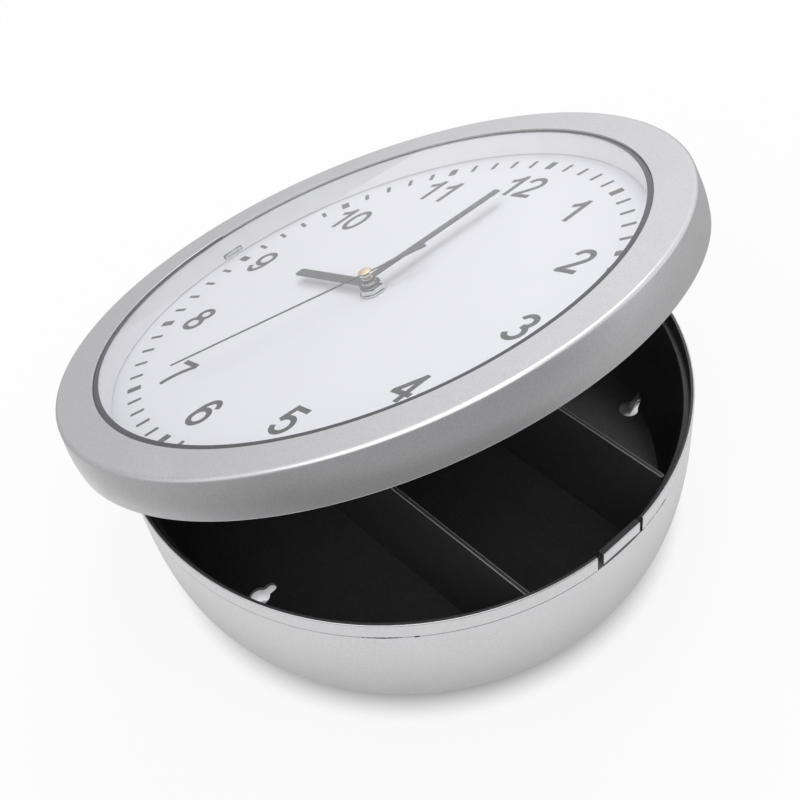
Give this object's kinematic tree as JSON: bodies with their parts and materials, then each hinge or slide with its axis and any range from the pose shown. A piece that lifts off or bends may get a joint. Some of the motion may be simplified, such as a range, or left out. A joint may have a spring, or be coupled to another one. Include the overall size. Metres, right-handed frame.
{
  "type": "clock diversion safe",
  "caption": "Round wall clock whose glazed face is a lid, hinged at 9 o'clock over a hidden tray with shelves for valuables.",
  "frame": {"origin": "centre of the flat back that lies against the wall", "axes": "+Z out of the wall towards the viewer, +Y towards 12 o'clock, +X towards 3 o'clock; the lid is hinged at -X"},
  "size_m": [0.2452, 0.255, 0.1684],
  "materials": {
    "silver_paint": "metallic silver paint over black plastic, satin",
    "black_plastic": "fine matte texture",
    "clear_lens": "clear, polished",
    "pale_plastic": "glossy pale grey",
    "white_dial": "matte white, printed",
    "steel": "plain steel",
    "grey_hand": "satin mid-grey paint",
    "gold_cap": "pale gold plate",
    "brass": "turned brass",
    "copper_wire": "lacquered copper wire",
    "white_nylon": "natural nylon",
    "green_board": "circuit board with solder mask",
    "magnet": "dark sintered magnet",
    "cell_sleeve": "plain printed sleeve"
  },
  "bodies": {
    "body": {"back_shell": "silver_paint", "inner_tray": "black_plastic", "hinge_pin": "steel"},
    "upper_shelf": {"shelf_upper": "black_plastic"},
    "lower_shelf": {"shelf_lower": "black_plastic"},
    "latch": {"latch_tab": "silver_paint"},
    "lid": {"bezel": "silver_paint", "lens": "clear_lens", "dial_ring": "pale_plastic", "dial_plate": "white_dial", "lid_back": "black_plastic", "lid_screw_1": "steel", "lid_screw_2": "steel", "lid_screw_3": "steel", "lid_screw_4": "steel", "lid_screw_5": "steel", "lid_screw_6": "steel", "shaft_washer": "steel", "shaft_nut": "steel", "movement_case": "black_plastic", "movement_cover": "black_plastic", "stator": "steel", "coil": "copper_wire", "coil_core": "steel", "circuit_board": "green_board", "quartz_crystal": "steel", "contact_positive": "steel", "contact_negative": "steel"},
    "cell": {"cell": "cell_sleeve"},
    "seconds": {"second_wheel": "white_nylon", "second_hand": "grey_hand", "second_hand_cap": "gold_cap"},
    "fifth": {"fifth_wheel": "white_nylon"},
    "rotor": {"rotor": "magnet"},
    "third": {"third_wheel": "white_nylon"},
    "centre": {"centre_wheel": "white_nylon"},
    "minutes": {"minute_arbor": "brass", "minute_hand": "grey_hand"},
    "minute_gear": {"minute_wheel": "white_nylon"},
    "hours": {"hour_wheel": "white_nylon", "hour_hand": "grey_hand"},
    "setting": {"setting_knob": "white_nylon"}
  },
  "joints": [
    {"name": "lid_hinge", "type": "hinge", "parent": "body", "child": "lid", "pos_m": [-0.1225, 0, 0.064], "axis": [0, -1, 0], "range_deg": [-21.7, 73.3]},
    {"name": "upper_shelf_slide", "type": "slide", "parent": "body", "child": "upper_shelf", "axis": [0, 0, 1], "range_m": [0, 0.0075]},
    {"name": "lower_shelf_slide", "type": "slide", "parent": "body", "child": "lower_shelf", "axis": [0, 0, 1], "range_m": [0, 0.0075]},
    {"name": "latch_flex", "type": "hinge", "parent": "body", "child": "latch", "pos_m": [0.112, 0, 0.0636], "axis": [0, 1, 0], "range_deg": [0, 6], "stiffness_Nm_per_rad": 0.3},
    {"name": "cell_slide", "type": "slide", "parent": "lid", "child": "cell", "axis": [0.3697, 0, -0.9291], "range_m": [0, 0.02]},
    {"name": "second_hand_turn", "type": "hinge", "parent": "lid", "child": "seconds", "pos_m": [-0.00572, 0, 0.10186], "axis": [-0.3697, 0, 0.9291], "continuous": true},
    {"name": "fifth_wheel_turn", "type": "hinge", "parent": "lid", "child": "fifth", "pos_m": [-0.01221, 0.00998, 0.09928], "axis": [-0.3697, 0, 0.9291], "continuous": true},
    {"name": "rotor_turn", "type": "hinge", "parent": "lid", "child": "rotor", "pos_m": [-0.01881, 0.00739, 0.09665], "axis": [-0.3697, 0, 0.9291], "continuous": true},
    {"name": "third_wheel_turn", "type": "hinge", "parent": "lid", "child": "third", "pos_m": [0.00372, 0.00587, 0.10562], "axis": [-0.3697, 0, 0.9291], "continuous": true},
    {"name": "centre_wheel_turn", "type": "hinge", "parent": "lid", "child": "centre", "pos_m": [-0.00572, 0, 0.10186], "axis": [-0.3697, 0, 0.9291], "continuous": true},
    {"name": "minute_hand_turn", "type": "hinge", "parent": "lid", "child": "minutes", "pos_m": [-0.00572, 0, 0.10186], "axis": [-0.3697, 0, 0.9291], "continuous": true},
    {"name": "minute_wheel_turn", "type": "hinge", "parent": "lid", "child": "minute_gear", "pos_m": [0.00317, -0.00446, 0.1054], "axis": [-0.3697, 0, 0.9291], "continuous": true},
    {"name": "hour_hand_turn", "type": "hinge", "parent": "lid", "child": "hours", "pos_m": [-0.00572, 0, 0.10186], "axis": [-0.3697, 0, 0.9291], "continuous": true},
    {"name": "setting_knob_turn", "type": "hinge", "parent": "lid", "child": "setting", "pos_m": [0.01277, -0.00227, 0.10922], "axis": [-0.3697, 0, 0.9291], "continuous": true}
  ],
  "couplings": [
    {"joint": "fifth_wheel_turn", "follows": "second_hand_turn", "ratio": -6},
    {"joint": "rotor_turn", "follows": "second_hand_turn", "ratio": 30},
    {"joint": "third_wheel_turn", "follows": "second_hand_turn", "ratio": -0.13333},
    {"joint": "centre_wheel_turn", "follows": "second_hand_turn", "ratio": 0.016667},
    {"joint": "minute_wheel_turn", "follows": "minute_hand_turn", "ratio": -0.33333},
    {"joint": "hour_hand_turn", "follows": "minute_hand_turn", "ratio": 0.083333},
    {"joint": "setting_knob_turn", "follows": "minute_hand_turn", "ratio": 1}
  ]
}
